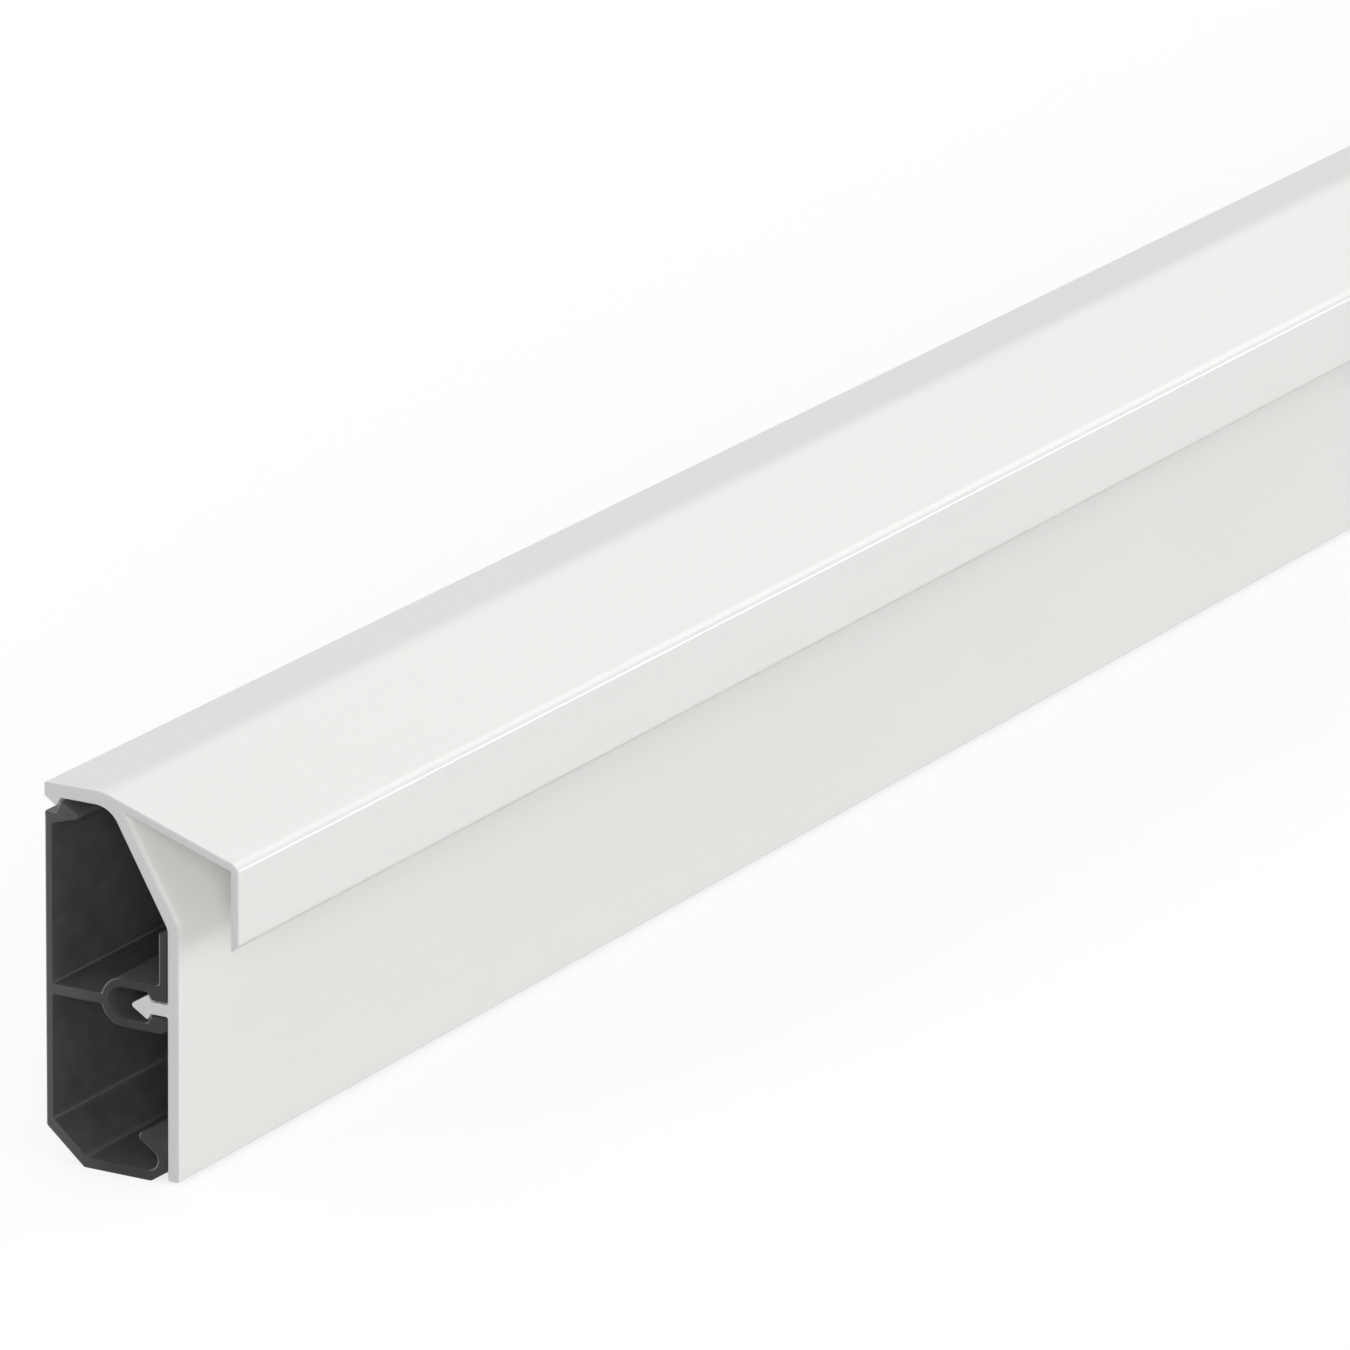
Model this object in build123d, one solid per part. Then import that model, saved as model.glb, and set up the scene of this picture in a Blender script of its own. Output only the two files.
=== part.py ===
from build123d import *
from math import atan2, cos, degrees, hypot, radians, sin, tan
import os

# Skirting cable raceway in two extruded pieces: a base channel that is fixed to the wall, and a cover strip
# that snaps over it. Both sections are drawn as (depth, height): depth runs from the wall plane towards the
# room and height from the floor. The stock lies along X, with the wall on +Y and the room on -Y.
# Sizes are in millimetres and degrees.

# Whole stock
length = 2000.0
height = 50.0
body_depth = 19.6       # wall plane to the outside of the cover's front wall
overhang = 8.7          # front wall to the face of the lip in front of it

# Cover strip: top, web and front wall
cover_wall = 1.6        # web and front wall
cover_lift = 0.45       # lower edge of the front wall above the floor
top_wall = 1.75
top_width = 8.7         # level top, before the roof starts to slope
top_bend = 8.0
web_top = 9.6           # depth at which the inside of the web meets the underside of the top
web_bend = 3.75         # inside radius between the top and the web
knee_bend = 2.0         # inside radius between the web and the front wall

# Cover strip: roof and hanging lip
roof_wall = 1.05
roof_slope = 18.3
lip_wall = 1.1
lip_height = 10.2
lip_bevel = 1.15        # the lip's inner edge hangs lower than its face by this much
nose_chamfer = 0.6      # cut back from the sharp corner of the nose along both faces
nose_ease = 0.74        # share of the chamfer that its round on the roof's side takes up
nose_edge = 0.23        # share of the chamfer that its round on the lip's side takes up

# Cover strip: hook under the top's back edge
hook_width = 2.42
hook_tip = 1.68         # depth of the hook's point
hook_drop = 1.12        # height of the hook below the underside of the top

# Cover strip: barbed stem inside the front wall
snap_height = 22.9      # level of the stem, the socket and the partition
stem_wall = 1.6
stem_length = 2.5       # front wall to the neck of the barb
barb_width = 3.25
barb_rake = 0.5         # undercut of the barb's back faces
barb_length = 2.6       # back corners to the point

# Base channel: walls
back_wall = 1.05
floor_wall = 1.42       # floor, bevel and partition
spring_wall = 1.2       # socket arms, fin and curl
bevel_depth = 5.5
bevel_height = 4.7

# Base channel: snap head at the top of the back wall
head_reach = 4.95       # wall plane to the head's blunt front
head_fall = 1.33        # peak to the upper edge of the blunt front
head_nose = 0.65        # height of the blunt front
head_root = 1.57        # thickness of the head where it leaves the back wall

# Base channel: foot and curl under the cover's lower edge
foot_depth = 2.4        # bevel under the foot
foot_height = 1.55
curl_radius = 1.4       # inside radius
curl_lean = 33.0        # slope of the curl's end
curl_length = 2.15      # straight end of the curl
curl_setback = 0.25     # curl behind the front of the foot

# Base channel: socket and the fin on its upper arm
socket_reach = 6.5      # front of the base to the centre of the socket's round end
fin_height = 6.9        # above the socket's upper arm

# Fits between the two pieces
seat_gap = 0.15         # base front behind the inside of the cover's front wall
stem_play = 0.27        # stem to each lip of the socket
barb_play = 0.375       # barb to each arm of the socket
catch_gap = 0.2         # barb's back faces to the lips that hold it
hook_gap = 0.42         # head's peak below the underside of the top
hook_relief = 0.85      # shoulder of the back wall below the hook's point
fin_gap = 0.65          # fin below the knee of the cover

# Edges
point_radius = 0.12     # points and thin edges
edge_radius = 0.25
barb_radius = 0.4       # tip of the barb
soft_radius = 0.5       # corners of the bevel and the foot
root_radius = 0.3       # inside corners where walls meet

# Levels and depths that both pieces share
overall_depth = body_depth + overhang
underside = height - top_wall
wall_inside = body_depth - cover_wall
nose_height = height - (overall_depth - top_width) * tan(radians(roof_slope))
nose_turn = (90 - roof_slope) / 2
nose_span = 2 * nose_chamfer * cos(radians(nose_turn)) / tan(radians(nose_turn / 2))  # radius of a whole round
base_front = wall_inside - seat_gap
shoulder = underside - hook_drop - hook_relief
barb_neck = wall_inside - stem_length
barb_corner = barb_neck - barb_rake
bore_half = barb_width / 2 + barb_play
mouth_half = stem_wall / 2 + stem_play
socket_half = bore_half + spring_wall
socket_centre = base_front - socket_reach
fin_top = snap_height + socket_half + fin_height
knee_height = fin_top + fin_gap
web_angle = degrees(atan2(underside - knee_height, wall_inside - web_top))
curl_centre = base_front - curl_setback - spring_wall - curl_radius
curl_level = floor_wall + curl_radius


def outline(*corners):
    """Closed face through corners given as (depth, height, radius)."""
    face = make_face(Polyline(*[(d, h) for d, h, r in corners], close=True))
    for d, h, r in corners:
        if r:
            face = fillet(face.vertices().sort_by_distance((d, h))[0], r)
    return face


def beside(point, angle, distance):
    """Point at a distance to the left of a line that runs at an angle."""
    return (point[0] - distance * sin(radians(angle)), point[1] + distance * cos(radians(angle)))


def crossing(p, p_angle, q, q_angle):
    """Point where the line through p meets the line through q."""
    reach = (q[0] - p[0]) * sin(radians(q_angle)) - (q[1] - p[1]) * cos(radians(q_angle))
    run = reach / sin(radians(q_angle - p_angle))
    return (p[0] + run * cos(radians(p_angle)), p[1] + run * sin(radians(p_angle)))


def rounded_roots(section, *corners):
    """The section with the inside corners nearest to some points rounded."""
    for corner in corners:
        section = fillet(section.vertices().sort_by_distance(corner)[0], root_radius)
    return section


def cover_shell():
    """Top with its hook, roof, lip, web and front wall."""
    web_outside = beside((web_top, underside), -web_angle, cover_wall)
    roof_inside = beside((top_width, height), -roof_slope, -roof_wall)
    roof_run = (cos(radians(roof_slope)), sin(radians(roof_slope)))
    beside_nose = (overall_depth - nose_chamfer * roof_run[0], nose_height + nose_chamfer * roof_run[1])
    lip_inside = overall_depth - lip_wall
    lip_end = nose_height - lip_height
    pocket = crossing(roof_inside, -roof_slope, web_outside, -web_angle)
    nose_inside = crossing(roof_inside, -roof_slope, (lip_inside, 0), 90)
    knee_outside = crossing(web_outside, -web_angle, (body_depth, 0), 90)
    return outline(
        (0, height, edge_radius),
        (top_width, height, top_bend),
        (*beside_nose, nose_ease * nose_span),
        (overall_depth, nose_height - nose_chamfer, nose_edge * nose_span),
        (overall_depth, lip_end, point_radius),
        (lip_inside, lip_end - lip_bevel, point_radius),
        (*nose_inside, root_radius),
        (*pocket, root_radius),
        (*knee_outside, knee_bend + cover_wall),
        (body_depth, cover_lift, edge_radius),
        (wall_inside, cover_lift, edge_radius),
        (wall_inside, knee_height, knee_bend),
        (web_top, underside, web_bend),
        (hook_width, underside, 0),
        (hook_tip, underside - hook_drop, point_radius),
        (0, underside, edge_radius),
    )


def barbed_stem():
    """Stem and barb that run from inside the front wall into the socket."""
    stem = stem_wall / 2
    barb = barb_width / 2
    root = wall_inside + cover_wall / 2
    return outline(
        (root, snap_height + stem, 0),
        (barb_neck, snap_height + stem, 0),
        (barb_corner, snap_height + barb, point_radius),
        (barb_corner - barb_length, snap_height, barb_radius),
        (barb_corner, snap_height - barb, point_radius),
        (barb_neck, snap_height - stem, 0),
        (root, snap_height - stem, 0),
    )


def cover_section():
    """Whole section of the cover strip."""
    return rounded_roots(
        cover_shell() + barbed_stem(),
        (wall_inside, snap_height + stem_wall / 2),
        (wall_inside, snap_height - stem_wall / 2),
    )


def channel_shell():
    """Back wall, bevel, floor and foot, hollowed for the inside of the curl."""
    bevel = hypot(bevel_depth, bevel_height)
    across = (bevel_height / bevel, bevel_depth / bevel)
    inside = across[1] * bevel_height + floor_wall
    floor_corner = (inside - across[1] * floor_wall) / across[0]
    wall_corner = (inside - across[0] * back_wall) / across[1]
    shell = outline(
        (0, shoulder, edge_radius),
        (0, bevel_height, soft_radius),
        (bevel_depth, 0, soft_radius),
        (base_front - foot_depth, 0, soft_radius),
        (base_front, foot_height, edge_radius),
        (base_front - curl_setback, curl_level, 0),
        (curl_centre, curl_level, 0),
        (curl_centre, floor_wall, 0),
        (floor_corner, floor_wall, soft_radius),
        (back_wall, wall_corner, soft_radius),
        (back_wall, shoulder, 0),
    )
    return shell - Pos(curl_centre, curl_level) * Circle(curl_radius)


def curl():
    """Strip that turns up from the foot and leans back over the floor."""
    middle = curl_radius + spring_wall / 2
    bend = CenterArc((curl_centre, curl_level), middle, -90, 180 - curl_lean)
    end = PolarLine(bend @ 1, curl_length, 180 - curl_lean)
    return SlotArc(Wire([bend, end]), spring_wall)


def snap_head():
    """Head that the hook of the cover drops behind."""
    peak = underside - hook_gap
    blunt = peak - head_fall
    return outline(
        (hook_tip, shoulder, 0),
        (hook_width, peak, edge_radius),
        (head_reach, blunt, edge_radius),
        (head_reach, blunt - head_nose, edge_radius),
        (back_wall, shoulder - head_root, 0),
        (back_wall / 2, shoulder - head_root, 0),
        (back_wall / 2, shoulder, 0),
    )


def partition():
    """Shelf between the two cable compartments, from the back wall to the socket."""
    start = back_wall / 2
    end = socket_centre - bore_half - spring_wall / 2
    return Pos((start + end) / 2, snap_height) * Rectangle(end - start, floor_wall)


def catch_depth(rise):
    """Depth of a lip's catch face at a distance above or below the stem's middle."""
    rake = barb_rake / (barb_width / 2 - stem_wall / 2)
    return barb_neck - rake * (rise - stem_wall / 2) + catch_gap


def socket_lip(side, front):
    """Lip at the socket's mouth, above the stem (side 1) or below it (side -1), as far as a depth."""
    return outline(
        (catch_depth(bore_half), snap_height + side * bore_half, 0),
        (catch_depth(mouth_half), snap_height + side * mouth_half, edge_radius),
        (front, snap_height + side * mouth_half, 0),
        (front, snap_height + side * socket_half, 0),
        (catch_depth(bore_half), snap_height + side * socket_half, 0),
    )


def socket():
    """Sleeve with a round end, with its upper lip and its round-nosed lower lip."""
    middle = bore_half + spring_wall / 2
    lips_start = catch_depth(bore_half)
    nose = (socket_half - mouth_half) / 2
    upper_arm = Line((lips_start, snap_height + middle), (socket_centre, snap_height + middle))
    round_end = CenterArc((socket_centre, snap_height), middle, 90, 180)
    lower_arm = Line((socket_centre, snap_height - middle), (lips_start, snap_height - middle))
    sleeve = SlotArc(Wire([upper_arm, round_end, lower_arm]), spring_wall)
    lower_nose = Pos(base_front - nose, snap_height - mouth_half - nose) * Circle(nose)
    return sleeve + socket_lip(1, base_front) + socket_lip(-1, base_front - nose) + lower_nose


def fin():
    """Upright strip on the socket's upper arm that backs the cover's front wall."""
    foot = snap_height + bore_half
    return outline(
        (base_front - spring_wall, foot, 0),
        (base_front, foot, 0),
        (base_front, fin_top, edge_radius),
        (base_front - spring_wall, fin_top, edge_radius),
    )


def base_section():
    """Whole section of the base channel."""
    return rounded_roots(
        channel_shell() + curl() + snap_head() + partition() + socket() + fin(),
        (back_wall, shoulder - head_root),
        (back_wall, snap_height + floor_wall / 2),
        (back_wall, snap_height - floor_wall / 2),
        (socket_centre - socket_half, snap_height + floor_wall / 2),
        (socket_centre - socket_half, snap_height - floor_wall / 2),
        (base_front - spring_wall, snap_height + socket_half),
    )


def stock(section):
    """A section extruded to the full length of the stock."""
    end = Plane(origin=(length / 2, overall_depth / 2, 0), x_dir=(0, -1, 0), z_dir=(-1, 0, 0))
    return extrude(end * section, amount=length)


os.makedirs("parts", exist_ok=True)
export_step(stock(base_section()), "parts/base_channel.step")
export_step(stock(cover_section()), "parts/cover_strip.step")
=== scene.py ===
import math
import bmesh
import bpy
from mathutils import Matrix, Vector


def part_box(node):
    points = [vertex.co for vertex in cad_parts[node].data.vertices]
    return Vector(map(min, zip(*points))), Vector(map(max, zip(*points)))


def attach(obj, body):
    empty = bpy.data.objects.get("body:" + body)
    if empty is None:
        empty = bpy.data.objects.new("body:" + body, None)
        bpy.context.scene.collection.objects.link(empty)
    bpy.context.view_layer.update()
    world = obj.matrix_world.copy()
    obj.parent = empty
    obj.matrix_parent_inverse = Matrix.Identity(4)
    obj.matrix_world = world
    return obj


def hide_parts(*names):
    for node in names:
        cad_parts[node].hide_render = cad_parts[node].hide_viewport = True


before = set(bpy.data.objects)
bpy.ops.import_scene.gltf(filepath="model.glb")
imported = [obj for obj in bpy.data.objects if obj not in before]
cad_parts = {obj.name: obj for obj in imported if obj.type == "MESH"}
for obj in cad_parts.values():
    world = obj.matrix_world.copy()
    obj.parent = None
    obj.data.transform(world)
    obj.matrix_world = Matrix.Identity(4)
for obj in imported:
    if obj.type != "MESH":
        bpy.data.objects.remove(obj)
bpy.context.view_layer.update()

# Sections are drawn in mm as (depth from the wall, height above the floor) and set in the frame's metres.
mm = 0.001
coverLow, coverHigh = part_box("cover_strip")
wallPlane = coverHigh.y
stockStart, stockEnd = coverLow.x, coverHigh.x
print("frame loaded, stock of", round(stockEnd - stockStart, 3), "m")


# Section drawing

arcStep = 6.0  # degrees between points on a curve


def arcRun(centre, radius, start, end):
    steps = math.ceil(abs(end - start) / arcStep)
    turns = [math.radians(start + (end - start) * i / steps) for i in range(steps + 1)]
    return [(centre[0] + radius * math.cos(t), centre[1] + radius * math.sin(t), 0) for t in turns]


def turnOf(loop):
    return sum(a.cross(b) for a, b in zip(loop, loop[1:] + loop[:1]))


# Corners are (depth, height, radius), and those without a radius stay sharp.
def roundCorners(corners):
    points = []
    for i, (d, h, radius) in enumerate(corners):
        here = Vector((d, h))
        if not radius:
            points.append(here)
            continue
        back = (Vector(corners[i - 1][:2]) - here).normalized()
        ahead = (Vector(corners[(i + 1) % len(corners)][:2]) - here).normalized()
        half = back.angle(ahead) / 2
        centre = here + (back + ahead).normalized() * radius / math.sin(half)
        spoke = here + back * radius / math.tan(half) - centre
        sweep = math.copysign(math.pi - 2 * half, ahead.cross(back))
        steps = math.ceil(math.degrees(abs(sweep)) / arcStep)
        points += [centre + Matrix.Rotation(sweep * k / steps, 2) @ spoke for k in range(steps + 1)]
    return points


def insetLoop(points, amounts):
    side = math.copysign(1, turnOf(points))
    inset = []
    for i, (here, amount) in enumerate(zip(points, amounts)):
        a = (here - points[i - 1]).normalized()
        b = (points[(i + 1) % len(points)] - here).normalized()
        na, nb = Vector((-a.y, a.x)), Vector((-b.y, b.x))
        inset.append(here + (na + nb) * side * amount / (1 + na.dot(nb)))
    return inset


# A point at a distance from a line through the first one, which leans by the angle
def beside(point, angle, distance):
    t = math.radians(angle)
    return (point[0] - distance * math.sin(t), point[1] + distance * math.cos(t))


# Where a line through p and a line through q meet
def crossing(p, pAngle, q, qAngle):
    pt, qt = math.radians(pAngle), math.radians(qAngle)
    run = ((q[0] - p[0]) * math.sin(qt) - (q[1] - p[1]) * math.cos(qt)) / math.sin(qt - pt)
    return (p[0] + run * math.cos(pt), p[1] + run * math.sin(pt))


# Edges that both sections share, in mm
edges = {"point": 0.18, "edge": 0.25, "soft": 0.5, "root": 0.3, "barb": 0.4}

coverStrip = {
    "height": coverHigh.z / mm,
    "depth": 19.6,
    "reach": (coverHigh.y - coverLow.y) / mm,
    "wall": 1.6,
    "lift": 0.45,
    "topWall": 1.75,
    "topWidth": 8.7,
    "topBend": 8.0,
    "webTop": 9.6,
    "webBend": 3.75,
    "knee": 33.65,
    "kneeBend": 2.0,
    "roofWall": 1.05,
    "roofSlope": 18.3,
    "lipWall": 1.1,
    "lipHeight": 10.2,
    "lipBevel": 1.15,
    "lipEase": 0.45,
    "noseChamfer": 0.6,
    "noseEase": 0.74,
    "noseEdge": 0.23,
    "hookWidth": 2.42,
    "hookTip": 1.68,
    "hookDrop": 1.12,
    "snapHeight": 22.9,
    "stemWall": 1.6,
    "stemLength": 2.5,
    "barbWidth": 3.25,
    "barbRake": 0.5,
    "barbLength": 2.6,
}

# Levels of the cover that the base is fitted to, and the play that is left there
underside = coverStrip["height"] - coverStrip["topWall"]
wallInside = coverStrip["depth"] - coverStrip["wall"]
barbNeck = wallInside - coverStrip["stemLength"]
fitPlay = {"wall": 0.15, "hook": 0.85, "head": 0.42}


# A section comes with the corners that get a painted highlight line and the edge beside the cut whose skin
# gets a painted glow.
def coverSection():
    c, e = coverStrip, edges
    webAngle = math.degrees(math.atan2(underside - c["knee"], wallInside - c["webTop"]))
    slope = math.radians(c["roofSlope"])
    chamfer = c["noseChamfer"]
    noseTurn = (math.pi / 2 - slope) / 2
    noseHeight = c["height"] - (c["reach"] - c["topWidth"]) * math.tan(slope)
    noseSpan = 2 * chamfer * math.cos(noseTurn) / math.tan(noseTurn / 2)
    webOutside = beside((c["webTop"], underside), -webAngle, c["wall"])
    roofInside = beside((c["topWidth"], c["height"]), -c["roofSlope"], -c["roofWall"])
    lipInside = c["reach"] - c["lipWall"]
    lipEnd = noseHeight - c["lipHeight"]
    snap, stem, barb = c["snapHeight"], c["stemWall"] / 2, c["barbWidth"] / 2
    barbCorner = barbNeck - c["barbRake"]
    apex = crossing(roofInside, -c["roofSlope"], webOutside, -webAngle)
    knee = crossing(webOutside, -webAngle, (c["depth"], 0), 90)
    return [], (apex, knee), roundCorners([
        (0, c["height"], e["edge"]),
        (c["topWidth"], c["height"], c["topBend"]),
        (c["reach"] - chamfer * math.cos(slope), noseHeight + chamfer * math.sin(slope),
         c["noseEase"] * noseSpan),
        (c["reach"], noseHeight - chamfer, c["noseEdge"] * noseSpan),
        (c["reach"], lipEnd, c["lipEase"]),
        (lipInside, lipEnd - c["lipBevel"], e["point"]),
        (*crossing(roofInside, -c["roofSlope"], (lipInside, 0), 90), e["root"]),
        (*apex, e["root"]),
        (*knee, c["kneeBend"] + c["wall"]),
        (c["depth"], c["lift"], e["edge"]),
        (wallInside, c["lift"], e["edge"]),
        (wallInside, snap - stem, e["root"]),
        (barbNeck, snap - stem, 0),
        (barbCorner, snap - barb, e["point"]),
        (barbCorner - c["barbLength"], snap, e["barb"]),
        (barbCorner, snap + barb, e["point"]),
        (barbNeck, snap + stem, 0),
        (wallInside, snap + stem, e["root"]),
        (wallInside, c["knee"], c["kneeBend"]),
        (c["webTop"], underside, c["webBend"]),
        (c["hookWidth"], underside, 0),
        (c["hookTip"], underside - c["hookDrop"], e["point"]),
        (0, underside, e["edge"]),
    ])


baseChannel = {
    "front": wallInside - fitPlay["wall"],
    "backWall": 1.05,
    "floorWall": 1.42,
    "springWall": 1.2,
    "bevelDepth": 5.5,
    "bevelHeight": 4.7,
    "shoulder": underside - coverStrip["hookDrop"] - fitPlay["hook"],
    "headPeak": underside - fitPlay["head"],
    "headReach": 4.95,
    "headFall": 1.33,
    "headNose": 0.65,
    "headRoot": 1.57,
    "footDepth": 2.4,
    "footHeight": 1.55,
    "curlRadius": 1.4,
    "curlLean": 33.0,
    "curlLength": 2.15,
    "curlSetback": 0.25,
    "socketReach": 6.5,
    "stemPlay": 0.27,
    "barbPlay": 0.375,
    "catchGap": 0.2,
    "finHeight": 6.9,
}


def baseSection():
    b, c, e = baseChannel, coverStrip, edges
    snap, half = c["snapHeight"], b["floorWall"] / 2
    bore = c["barbWidth"] / 2 + b["barbPlay"]
    mouth = c["stemWall"] / 2 + b["stemPlay"]
    sleeve = bore + b["springWall"]
    socketAt = b["front"] - b["socketReach"]
    finTop = snap + sleeve + b["finHeight"]
    finBack = b["front"] - b["springWall"]
    nose = (sleeve - mouth) / 2
    rake = c["barbRake"] / (c["barbWidth"] / 2 - c["stemWall"] / 2)
    boreCatch = barbNeck - rake * (bore - c["stemWall"] / 2) + b["catchGap"]
    mouthCatch = barbNeck - rake * (mouth - c["stemWall"] / 2) + b["catchGap"]
    joinTurn = math.degrees(math.asin(half / sleeve))
    joinAt = socketAt - sleeve * math.cos(math.radians(joinTurn))
    joinSkip = 8  # degrees of the sleeve that the fillet beside the partition takes up

    slant = math.hypot(b["bevelDepth"], b["bevelHeight"])
    across = (b["bevelHeight"] / slant, b["bevelDepth"] / slant)
    inside = across[1] * b["bevelHeight"] + b["floorWall"]
    floorCorner = (inside - across[1] * b["floorWall"]) / across[0]
    wallCorner = (inside - across[0] * b["backWall"]) / across[1]

    curlOuter = b["curlRadius"] + b["springWall"]
    curlAt = (b["front"] - b["curlSetback"] - curlOuter, b["floorWall"] + b["curlRadius"])
    lean = 90 - b["curlLean"]
    curlMiddle = b["curlRadius"] + b["springWall"] / 2
    tip = beside(curlAt, lean - 90, curlMiddle)
    tip = beside(tip, lean, b["curlLength"])

    blunt = b["headPeak"] - b["headFall"]
    roots = [(b["backWall"], snap + half), (b["backWall"], wallCorner), (floorCorner, b["floorWall"])]
    return roots, None, roundCorners([
        (0, b["shoulder"], e["edge"]),
        (0, b["bevelHeight"], e["soft"]),
        (b["bevelDepth"], 0, e["soft"]),
        (b["front"] - b["footDepth"], 0, e["soft"]),
        (b["front"], b["footHeight"], e["edge"]),
        *arcRun(curlAt, curlOuter, 0, lean),
        *arcRun(tip, b["springWall"] / 2, lean, lean + 180),
        *arcRun(curlAt, b["curlRadius"], lean, -90),
        (floorCorner, b["floorWall"], e["soft"]),
        (b["backWall"], wallCorner, e["soft"]),
        (b["backWall"], snap - half, e["root"]),
        (joinAt, snap - half, e["root"]),
        *arcRun((socketAt, snap), sleeve, 180 + joinTurn + joinSkip, 270),
        *arcRun((b["front"] - nose, snap - mouth - nose), nose, -90, 90),
        (mouthCatch, snap - mouth, e["edge"]),
        (boreCatch, snap - bore, 0),
        *arcRun((socketAt, snap), bore, 270, 90),
        (boreCatch, snap + bore, 0),
        (mouthCatch, snap + mouth, e["edge"]),
        (b["front"], snap + mouth, 0),
        (b["front"], finTop, e["edge"]),
        (finBack, finTop, e["edge"]),
        (finBack, snap + sleeve, e["root"]),
        *arcRun((socketAt, snap), sleeve, 90, 180 - joinTurn - joinSkip),
        (joinAt, snap + half, e["root"]),
        (b["backWall"], snap + half, e["root"]),
        (b["backWall"], b["shoulder"] - b["headRoot"], e["root"]),
        (b["headReach"], blunt - b["headNose"], e["edge"]),
        (b["headReach"], blunt, e["edge"]),
        (c["hookWidth"], b["headPeak"], e["edge"]),
        (c["hookTip"], b["shoulder"], 0),
    ])


# Extruded stock with sawn ends

sawnEnd = {
    "round": 0.13,        # mm, on edges that get no rim highlight
    "cornerShare": 0.9,   # part of a corner's radius that a round may take
    "straightBend": 0.01,  # radians, the least bend that a corner is reckoned with
    "shoulder": 0.6,      # mm beside a corner over which the round grows to its width
    "shoulderRoom": 3,    # shoulders that a straight run has to be longer than
    "glowBand": 1.4,      # mm of skin beside the cut over which the painted glow fades
    "glowStart": 1.0,     # mm from the recess's inner corner to where the painted glow starts
    "glowAside": 0.05,    # mm that a point on the glowing edge may lie off its line
    "steps": 4,           # rings from the cut face to the skin
    "spacing": 50.0,      # mm between rings along the stock
    "sharpAngle": 35.0,   # degrees
    "areaWeight": 100,    # keeps the long walls flat beside their rounds
}
# Shares of the bake map: skin up to walls, and both cut faces side by side from ends upwards
bakeMap = {"walls": 0.9, "ends": 0.92, "endWidth": 0.45, "farEnd": 0.5, "rounds": 0.012}
rootReach = 0.3  # mm to each side of a corner that its painted highlight line fades over
nudge = 0.001    # mm, to feel which way an edge faces
skinSlot, faceSlot, rimSlot = range(3)


def addShoulders(points):
    reach = sawnEnd["shoulder"]
    loop = []
    for a, b in zip(points, points[1:] + points[:1]):
        run = b - a
        loop.append(a)
        if run.length > sawnEnd["shoulderRoom"] * reach:
            loop += [a + run.normalized() * reach, b - run.normalized() * reach]
    return loop


# Points on the skin beside the cut that get the painted glow
def onGlowEdge(point, edge):
    if not edge:
        return False
    start, end = (Vector(p) for p in edge)
    way = (end - start).normalized()
    along = (point - start).dot(way)
    aside = abs((point - start).cross(way))
    return sawnEnd["glowStart"] < along < (end - start).length and aside < sawnEnd["glowAside"]


# Which points get the rim's painted highlight, by the way their edge faces
def rimShares(loop, rimSide):
    inwards = [(a - b).normalized() for a, b in zip(insetLoop(loop, [nudge] * len(loop)), loop)]
    return [max(0.0, way.x * rimSide) for way in inwards]


def edgeRounds(loop, shares, large):
    side = math.copysign(1, turnOf(loop))
    room = []
    for i, here in enumerate(loop):
        a, b = here - loop[i - 1], loop[(i + 1) % len(loop)] - here
        bend = side * math.atan2(a.cross(b), a.dot(b))
        radius = min(a.length, b.length) / max(bend, sawnEnd["straightBend"])
        room.append(sawnEnd["cornerShare"] * radius)
    small = sawnEnd["round"]
    return [min(small + (large - small) * share, room[i - 1], room[i], room[(i + 1) % len(loop)])
            for i, share in enumerate(shares)]


def cutStations(loop, rounds):
    length = stockEnd - stockStart
    parts = round(length / mm / sawnEnd["spacing"])
    edge = []
    for i in range(sawnEnd["steps"]):
        turn = math.pi / 2 * i / sawnEnd["steps"]
        setbacks = [r * (1 - math.cos(turn)) * mm for r in rounds]
        edge.append((setbacks, insetLoop(loop, [r * (1 - math.sin(turn)) for r in rounds])))
    edge.append(([r * mm for r in rounds], loop))
    near = [([stockStart + s for s in setbacks], points) for setbacks, points in edge]
    band = sawnEnd["glowBand"] * mm
    inner = [stockStart + length * i / parts for i in range(1, parts)]
    middle = [([x] * len(loop), loop) for x in (stockStart + band, *inner, stockEnd - band)]
    far = [([stockEnd - s for s in setbacks], points) for setbacks, points in reversed(edge)]
    return near + middle + far


def mapStock(bm, layer, place, loop, stations):
    steps, rounds = sawnEnd["steps"], bakeMap["rounds"]
    along = []
    for i, (places, points) in enumerate(stations):
        if i < steps:
            along.append(rounds * i / steps)
        elif i >= len(stations) - steps:
            along.append(1 - rounds * (len(stations) - 1 - i) / steps)
        else:
            along.append(rounds + (1 - 2 * rounds) * (places[0] - stockStart) / (stockEnd - stockStart))
    around = [0.0]
    for i, point in enumerate(loop):
        around.append(around[-1] + (loop[(i + 1) % len(loop)] - point).length)
    scale = bakeMap["walls"] / around[-1]
    for face in bm.faces:
        spots = [place[corner.vert] for corner in face.loops]
        isCap = len({station for station, point in spots}) == 1
        wraps = {0, len(loop) - 1} <= {point for station, point in spots}
        for corner, (station, point) in zip(face.loops, spots):
            if isCap:
                shelf = bakeMap["farEnd"] if station else 0.0
                high = corner.vert.co.z / (coverStrip["height"] * mm)
                deep = (wallPlane - corner.vert.co.y) / (coverStrip["reach"] * mm)
                across = bakeMap["ends"] + deep * (1 - bakeMap["ends"])
                corner[layer].uv = (shelf + high * bakeMap["endWidth"], across)
            else:
                turn = len(loop) if wraps and point == 0 else point
                corner[layer].uv = (along[station], around[turn] * scale)


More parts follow.
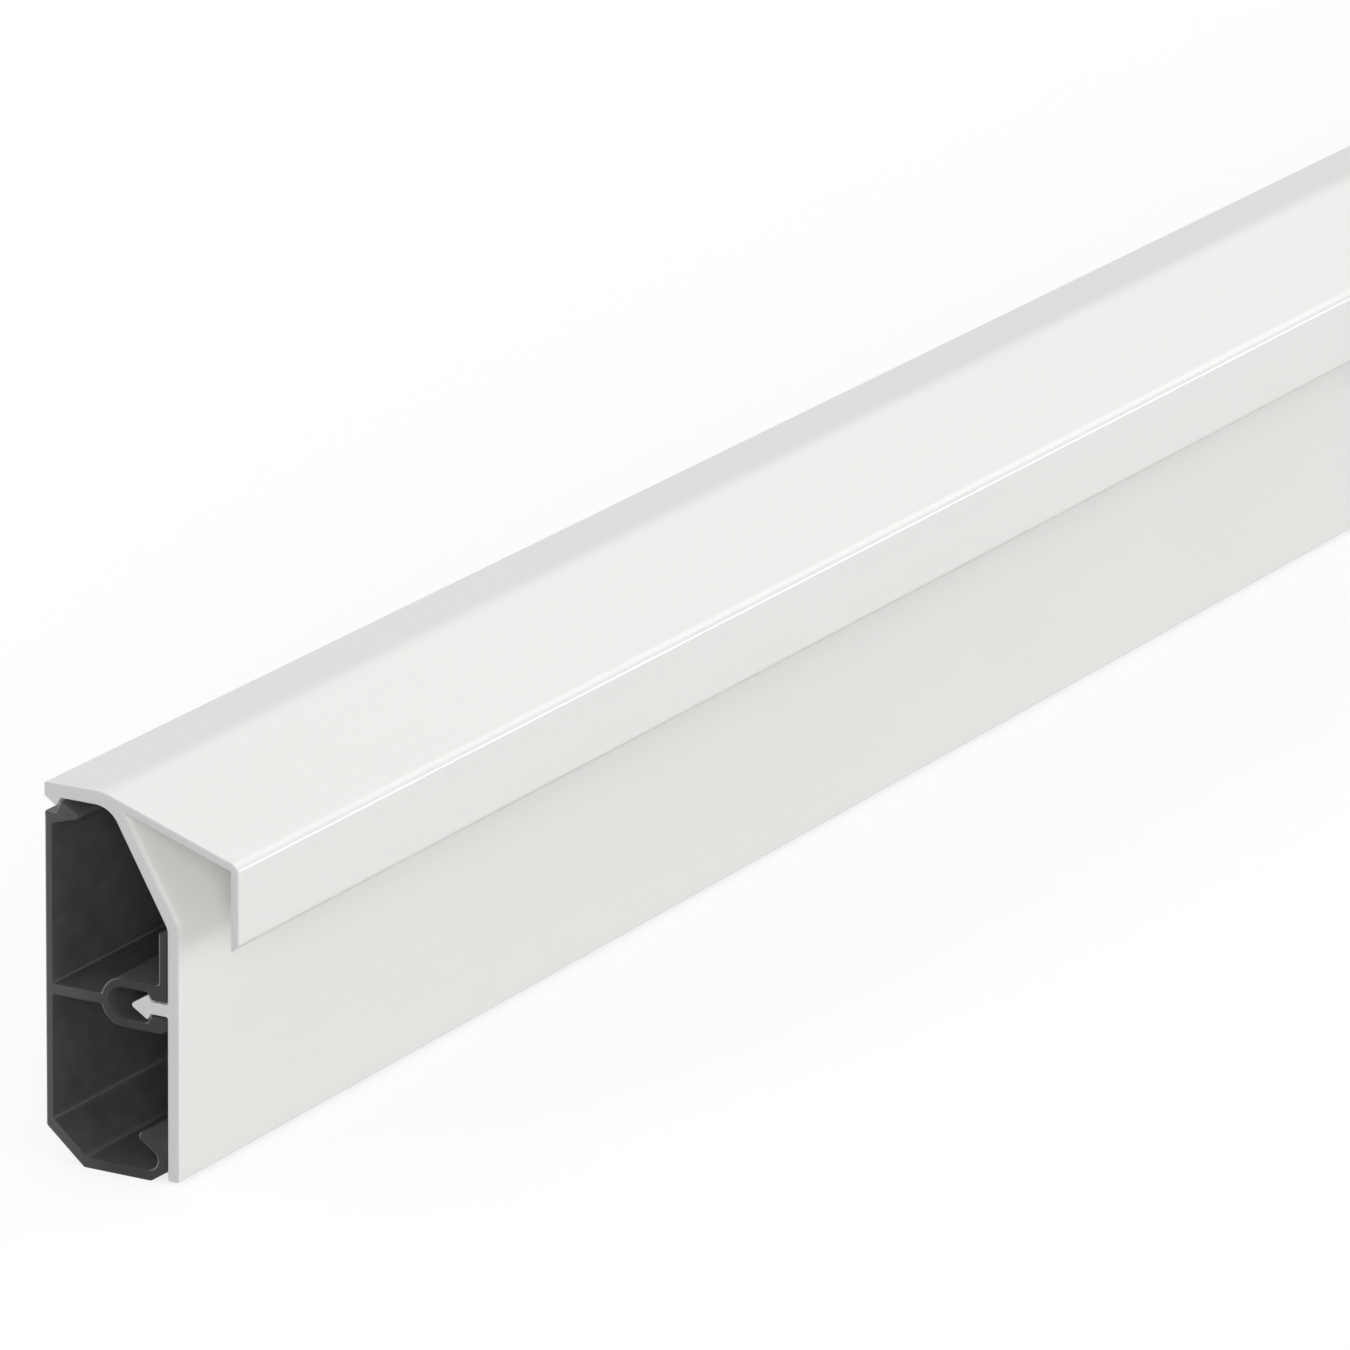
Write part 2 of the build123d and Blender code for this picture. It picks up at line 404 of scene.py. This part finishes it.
def extrudeStock(name, section, rootCorners, glowEdge, sawn, finishes):
    loop = addShoulders(section)
    shares = rimShares(loop, sawn["rimSide"])
    stations = cutStations(loop, edgeRounds(loop, shares, sawn["rimRound"]))
    skinRow = sawnEnd["steps"]
    bm = bmesh.new()
    paintedLightLines = ("rootLine", "paleLine", "burrLine")
    rootLine, paleLine, burrLine = (bm.verts.layers.float.new(line) for line in paintedLightLines)
    rings, place = [], {}
    for i, (places, points) in enumerate(stations):
        rings.append([bm.verts.new((x, wallPlane - p.x * mm, p.y * mm)) for x, p in zip(places, points)])
        row = min(i, len(stations) - 1 - i)
        for k, vert in enumerate(rings[-1]):
            place[vert] = (i, k)
            # painted highlight line at the root corners
            away = min([(points[k] - Vector(c)).length for c in rootCorners], default=rootReach)
            vert[rootLine] = max(0.0, 1 - away / rootReach)
            # painted glow on the skin next to the cut, along the recess's web
            vert[paleLine] = float(row == skinRow and onGlowEdge(points[k], glowEdge))
            # rim colour, a painted highlight on the cut's rounds, comes in towards the skin
            vert[burrLine] = shares[k] * min(1.0, row / skinRow) ** sawn["rimFade"]
    for row, (near, far) in enumerate(zip(rings, rings[1:])):
        for i in range(len(loop)):
            k = (i + 1) % len(loop)
            face = bm.faces.new((near[i], near[k], far[k], far[i]))
            isSkin = skinRow <= row < len(rings) - 1 - skinRow
            face.material_index = skinSlot if isSkin else rimSlot
    for ring in (rings[0], rings[-1]):
        bm.faces.new(ring).material_index = faceSlot
    for face in bm.faces:
        face.smooth = True
    bmesh.ops.recalc_face_normals(bm, faces=bm.faces)
    mapStock(bm, bm.loops.layers.uv.new("OFBake"), place, loop, stations)

    mesh = bpy.data.meshes.new(name)
    bm.to_mesh(mesh)
    bm.free()
    for finish in finishes:
        mesh.materials.append(finish)
    mesh.set_sharp_from_angle(angle=math.radians(sawnEnd["sharpAngle"]))
    stock = bpy.data.objects.new(name, mesh)
    bpy.context.collection.objects.link(stock)
    normals = stock.modifiers.new("flatWalls", "WEIGHTED_NORMAL")
    normals.keep_sharp = True
    normals.weight = sawnEnd["areaWeight"]
    print(name, "extruded,", len(loop), "points round the section,", len(mesh.polygons), "faces")
    return stock


# Shader nodes

class Sock:
    def __init__(self, sheet, socket):
        self.sheet = sheet
        self.socket = socket

    def maths(self, operation, a, b):
        return self.sheet.node("ShaderNodeMath", {"operation": operation}, {0: a, 1: b})

    def __add__(self, other):
        return self.maths("ADD", self, other)

    def __sub__(self, other):
        return self.maths("SUBTRACT", self, other)

    def __mul__(self, other):
        return self.maths("MULTIPLY", self, other)

    def __rsub__(self, other):
        return self.maths("SUBTRACT", other, self)

    __radd__ = __add__
    __rmul__ = __mul__


class Sheet:
    def __init__(self, owner):
        owner.use_nodes = True
        self.tree = owner.node_tree
        self.tree.nodes.clear()

    def node(self, kind, settings=None, sockets=None, out=0):
        made = self.tree.nodes.new(kind)
        for key, value in (settings or {}).items():
            if key == "stops":
                ramp = made.color_ramp.elements
                while len(ramp) < len(value):
                    ramp.new(0.5)
                for stop, (place, colour) in zip(ramp, value):
                    stop.position, stop.color = place, (*colour, 1)
            else:
                setattr(made, key, value)
        for key, value in (sockets or {}).items():
            if isinstance(value, Sock):
                self.tree.links.new(value.socket, made.inputs[key])
            else:
                made.inputs[key].default_value = value
        return Sock(self, made.outputs[out]) if len(made.outputs) else None

    def stretch(self, place, scale):
        return self.node("ShaderNodeVectorMath", {"operation": "MULTIPLY"}, {0: place, 1: scale})

    def noise(self, place, scale=1.0, detail=1.0, swirl=0.0):
        return self.node("ShaderNodeTexNoise", {},
                         {"Vector": place, "Scale": scale, "Detail": detail, "Distortion": swirl}, "Fac")

    # Colours are blended by a factor, each of them a socket or three numbers.
    def blend(self, factor, first, second, way="MIX"):
        first, second = (c if isinstance(c, Sock) else (*c, 1) for c in (first, second))
        return self.node("ShaderNodeMix", {"data_type": "RGBA", "blend_type": way},
                         {0: factor, 6: first, 7: second}, 2)

    def bump(self, height, strength, distance):
        return self.node("ShaderNodeBump", {}, {"Height": height, "Strength": strength, "Distance": distance})

    def finish(self, shader):
        self.node("ShaderNodeOutputMaterial", {}, {"Surface": shader})


noiseTurn = (0.5, 0.7, 0.4)  # keeps the noise's own grid off the stock's flat walls
noiseMiddle = 0.5


def plasticSkin(name, look):
    material = bpy.data.materials.new(name)
    s = Sheet(material)
    place = s.node("ShaderNodeTexCoord", out="Object")
    drawLines = s.noise(s.stretch(place, look["drawScale"]))  # left by the die, along the stock
    askew = s.node("ShaderNodeVectorRotate", {"rotation_type": "EULER_XYZ"},
                   {"Vector": place, "Rotation": noiseTurn})
    ripples = s.noise(askew, look["rippleScale"], swirl=look["rippleSwirl"])  # shallow, from uneven cooling
    cloud = s.noise(askew, look["cloudScale"])
    grain = s.noise(askew, look["grainScale"], detail=0.0)
    shade = drawLines * look["drawShare"] + ripples * look["rippleShare"] + cloud * look["cloudShare"]
    colour = s.blend(shade, look["dark"], look["light"])
    # painted light in the skin's colour: highlight lines in root corners and glow beside the cut, each
    # towards its tint
    for line, tint in look["paintedLightLines"].items():
        mark = s.node("ShaderNodeAttribute", {"attribute_name": line}, out="Fac")
        colour = s.blend(mark, colour, tint)
    rough = (look["roughness"] + (drawLines - noiseMiddle) * look["roughLines"]
             + (grain - noiseMiddle) * look["roughGrain"])
    normal = s.bump(ripples, look["rippleBump"], look["rippleDepth"])
    s.finish(s.node("ShaderNodeBsdfPrincipled", {}, {
        "Base Color": colour, "Roughness": rough, "Normal": normal, "IOR": look["ior"]}))
    return material


def sawnFace(name, look, rimHighlight=None):
    material = bpy.data.materials.new(name)
    s = Sheet(material)
    place = s.node("ShaderNodeTexCoord", out="Object")
    sawLines = s.noise(s.stretch(place, look["sawScale"]), detail=2.0)  # strokes of the blade
    speck = s.noise(place, look["speckScale"], detail=3.0)
    # colour by depth from the wall; on the base's cut this is painted shade, darker towards the room
    across = s.node("ShaderNodeSeparateXYZ", {}, {0: place}, "Y")
    depth = (wallPlane - across) * (1 / (coverStrip["depth"] * mm))
    toneWithShade = s.node("ShaderNodeValToRGB", {"stops": look["toneAndDepthShade"]}, {"Fac": depth})
    marks = sawLines * look["lineShare"] + speck * (1 - look["lineShare"])
    colour = s.blend(1.0, toneWithShade, s.blend(marks, look["dark"], look["light"]), "MULTIPLY")
    # the cut's rounds blend to the rim colour, a painted highlight
    if rimHighlight:
        burrLine = s.node("ShaderNodeAttribute", {"attribute_name": "burrLine"}, out="Fac")
        colour = s.blend(burrLine, colour, rimHighlight)
    rough = look["roughness"] + (speck - noiseMiddle) * look["roughSpeck"]
    normal = s.bump(marks, look["bump"], look["depth"])
    s.finish(s.node("ShaderNodeBsdfPrincipled", {}, {
        "Base Color": colour, "Roughness": rough, "Normal": normal, "IOR": look["ior"],
        "Specular IOR Level": look["shine"]}))
    return material


coverFinish = {
    "dark": (0.83, 0.83, 0.81),
    "light": (0.87, 0.87, 0.85),
    # painted glow beside the cut on the recess's web
    "paintedLightLines": {"paleLine": (0.97, 0.97, 0.96)},
    "drawScale": (1.5, 260.0, 260.0),
    "drawShare": 0.3,
    "rippleScale": 60.0,
    "rippleSwirl": 0.0,
    "rippleShare": 0.2,
    "cloudScale": 18.0,
    "cloudShare": 0.5,
    "grainScale": 1500.0,
    "roughness": 0.24,
    "roughLines": 0.03,
    "roughGrain": 0.04,
    "rippleBump": 0.05,
    "rippleDepth": 0.0002,
    "ior": 1.49,
}

coverSawn = {
    "toneAndDepthShade": [(0.0, (0.477, 0.477, 0.477)), (1.0, (0.477, 0.477, 0.477))],  # from the wall to the room
    # rim colour on the cut's rounds that face the room: partly the skin's own colour round the edge, partly
    # painted highlight
    "rimHighlight": (0.8, 0.8, 0.78),
    "rimSide": -1.0,  # on edges that face the room
    "rimRound": 0.2,
    "rimFade": 2.0,   # how late on the round the rim colour comes in
    "dark": (0.95, 0.95, 0.95),
    "light": (1.0, 1.0, 1.0),
    "shine": 0.3,
    "sawScale": (900.0, 300.0, 2400.0),
    "speckScale": 1800.0,
    "lineShare": 0.6,
    "roughness": 0.55,
    "roughSpeck": 0.15,
    "bump": 0.2,
    "depth": 0.00008,
    "ior": 1.49,
}

baseFinish = {
    "dark": (0.04, 0.04, 0.041),
    "light": (0.114, 0.114, 0.116),
    # painted highlight along the concave root corners
    "paintedLightLines": {"rootLine": (0.15, 0.15, 0.152)},
    "drawScale": (2.5, 300.0, 300.0),
    "drawShare": 0.2,
    "rippleScale": 330.0,
    "rippleSwirl": 0.6,
    "rippleShare": 0.4,
    "cloudScale": 300.0,
    "cloudShare": 0.4,
    "grainScale": 1500.0,
    "roughness": 0.42,
    "roughLines": 0.06,
    "roughGrain": 0.05,
    "rippleBump": 0.05,
    "rippleDepth": 0.0002,
    "ior": 1.49,
}

baseSawn = {
    # painted shade: the cut face darkens from the wall towards the room
    "toneAndDepthShade": [
        (0.0, (0.059, 0.059, 0.059)),
        (0.25, (0.0425, 0.0425, 0.0425)),
        (0.5, (0.019, 0.019, 0.019)),
        (1.0, (0.0195, 0.0195, 0.0195)),
    ],
    # painted highlight on the cut's rounds that face the wall
    "rimHighlight": (0.32, 0.32, 0.32),
    "rimSide": 1.0,   # on edges that face the wall
    "rimRound": 0.3,
    "rimFade": 0.5,
    "dark": (0.88, 0.88, 0.88),
    "light": (1.0, 1.0, 1.0),
    "shine": 0.3,
    "sawScale": (900.0, 300.0, 2400.0),
    "speckScale": 1800.0,
    "lineShare": 0.6,
    "roughness": 0.55,
    "roughSpeck": 0.15,
    "bump": 0.25,
    "depth": 0.00008,
    "ior": 1.49,
}

stocks = [
    ("coverStrip", "cover_strip", "cover_white", coverSection(), coverFinish, coverSawn),
    ("baseChannel", "base_channel", "base_grey", baseSection(), baseFinish, baseSawn),
]
for name, node, slot, (roots, glowEdge, loop), finish, sawn in stocks:
    skin, face = plasticSkin(name + "Skin", finish), sawnFace(name + "Sawn", sawn)
    rimHighlight = sawnFace(name + "Burr", sawn, sawn["rimHighlight"])
    piece = extrudeStock(name, loop, roots, glowEdge, sawn, [skin, face, rimHighlight])
    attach(piece, "root")
    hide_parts(node)
print("plastic pieces finished")


# Studio

studio = {
    "floorSize": 60.0,
    "floorColour": (0.35, 0.35, 0.35),
    "shadowShare": 0.3,     # part of the floor's white that the object's shadow can take away
    "floorGlow": 0.755,     # brings the lit floor up to white for the camera
    "ambient": 0.4,
    "backdropFade": (0.05, 0.5),  # heights between which reflections see the backdrop grow white
    # strength, angle of the disc in degrees, and the direction that the light comes from
    "suns": {
        "endSun": {"strength": 1.15, "angle": 24.0, "from": (-0.882, -0.469, 0.052)},
        "highSun": {"strength": 1.103, "angle": 24.0, "from": (-0.824, -0.476, 0.309)},
        "wallSun": {"strength": 0.72, "angle": 24.0, "from": (-0.905, 0.422, 0.052)},
        "rearSun": {"strength": 0.467, "angle": 24.0, "from": (-0.814, 0.47, 0.342)},
        "roofSun": {"strength": 0.192, "angle": 22.0, "from": (0.837, -0.14, 0.53)},
        "sheenSun": {"strength": 0.047, "angle": 20.0, "from": (0.837, 0.193, 0.513)},
        "lipSun": {"strength": 0.408, "angle": 12.0, "from": (0.837, -0.54, 0.07)},
        "frontSun": {"strength": 0.88, "angle": 50.0, "from": (0.086, -0.981, 0.174)},
        "backSun": {"strength": 0.65, "angle": 50.0, "from": (0.0, 0.707, 0.707)},
    },
}


def seenRays(s, mirrored=1.0):
    rays = ("Is Camera Ray", "Is Glossy Ray", "Is Transmission Ray")
    camera, glossy, through = (s.node("ShaderNodeLightPath", out=ray) for ray in rays)
    return s.node("ShaderNodeMath", {"operation": "ADD", "use_clamp": True},
                  {0: camera + through, 1: glossy * mirrored})


def paleFloor():
    half = studio["floorSize"] / 2
    mesh = bpy.data.meshes.new("paleFloor")
    corners = [(-half, -half, 0), (half, -half, 0), (half, half, 0), (-half, half, 0)]
    mesh.from_pydata(corners, [], [range(len(corners))])
    floor = bpy.data.objects.new("paleFloor", mesh)
    bpy.context.collection.objects.link(floor)
    material = bpy.data.materials.new("paleFloor")
    s = Sheet(material)
    share = studio["shadowShare"]
    lit = s.node("ShaderNodeBsdfDiffuse", {}, {"Color": (*studio["floorColour"], 1)})
    catcher = s.node("ShaderNodeBsdfDiffuse", {}, {"Color": (share, share, share, 1)})
    glow = s.node("ShaderNodeEmission", {}, {"Color": (1, 1, 1, 1), "Strength": studio["floorGlow"]})
    seen = s.node("ShaderNodeAddShader", {}, {0: catcher, 1: glow})
    s.finish(s.node("ShaderNodeMixShader", {}, {0: seenRays(s), 1: lit, 2: seen}))
    mesh.materials.append(material)


def whiteWorld():
    world = bpy.data.worlds.new("whiteWorld")
    bpy.context.scene.world = world
    s = Sheet(world)
    soft = s.node("ShaderNodeBackground", {}, {"Color": (1, 1, 1, 1), "Strength": studio["ambient"]})
    white = s.node("ShaderNodeBackground", {}, {"Color": (1, 1, 1, 1), "Strength": 1.0})
    upwards = s.node("ShaderNodeSeparateXYZ", {}, {0: s.node("ShaderNodeTexCoord")}, "Z")
    low, high = studio["backdropFade"]
    pale = s.node("ShaderNodeMapRange", {"clamp": True},
                  {"Value": upwards, "From Min": low, "From Max": high})
    mixed = s.node("ShaderNodeMixShader", {}, {0: seenRays(s, pale), 1: soft, 2: white})
    s.node("ShaderNodeOutputWorld", {}, {"Surface": mixed})


def softSun(name, look):
    sun = bpy.data.lights.new(name, "SUN")
    sun.energy = look["strength"]
    sun.angle = math.radians(look["angle"])
    lamp = bpy.data.objects.new(name, sun)
    lamp.rotation_euler = Vector(look["from"]).to_track_quat("Z", "Y").to_euler()
    bpy.context.collection.objects.link(lamp)


paleFloor()
whiteWorld()
for name, look in studio["suns"].items():
    softSun(name, look)
print("studio lit")


# Camera, placed so that the cover's lower near corner falls on its pixel of the 1350 px frame

photoCamera = {
    "azimuth": -61.15,  # degrees from the front, towards the near end
    "elevation": 17.205,
    "roll": 0.734,
    "lens": 279.7,
    "sensor": 36.0,
    "framePixels": 1350,
    "cornerPixel": (178.8, 1183.46),
    "cornerDistance": 1.31266,  # metres along the view
    "clipEnd": 100.0,
}


def photoView():
    p = photoCamera
    a, e = math.radians(p["azimuth"]), math.radians(p["elevation"])
    back = Vector((math.sin(a) * math.cos(e), -math.cos(a) * math.cos(e), math.sin(e)))
    turn = back.to_track_quat("Z", "Y").to_matrix() @ Matrix.Rotation(math.radians(p["roll"]), 3, "Z")
    focal = p["lens"] / p["sensor"] * p["framePixels"]
    sideways = (p["cornerPixel"][0] - p["framePixels"] / 2) / focal
    upwards = (p["framePixels"] / 2 - p["cornerPixel"][1]) / focal
    corner = Vector((stockStart, wallPlane - coverStrip["depth"] * mm, coverStrip["lift"] * mm))
    data = bpy.data.cameras.new("photoCamera")
    data.lens = p["lens"]
    data.sensor_width = p["sensor"]
    data.sensor_fit = "HORIZONTAL"
    data.clip_end = p["clipEnd"]
    camera = bpy.data.objects.new("photoCamera", data)
    spot = corner - turn @ Vector((sideways, upwards, -1)) * p["cornerDistance"]
    camera.matrix_world = Matrix.Translation(spot) @ turn.to_4x4()
    bpy.context.collection.objects.link(camera)
    bpy.context.scene.camera = camera


photoView()
bpy.context.scene.view_settings.view_transform = "Standard"
print("camera set at the photo's angle")
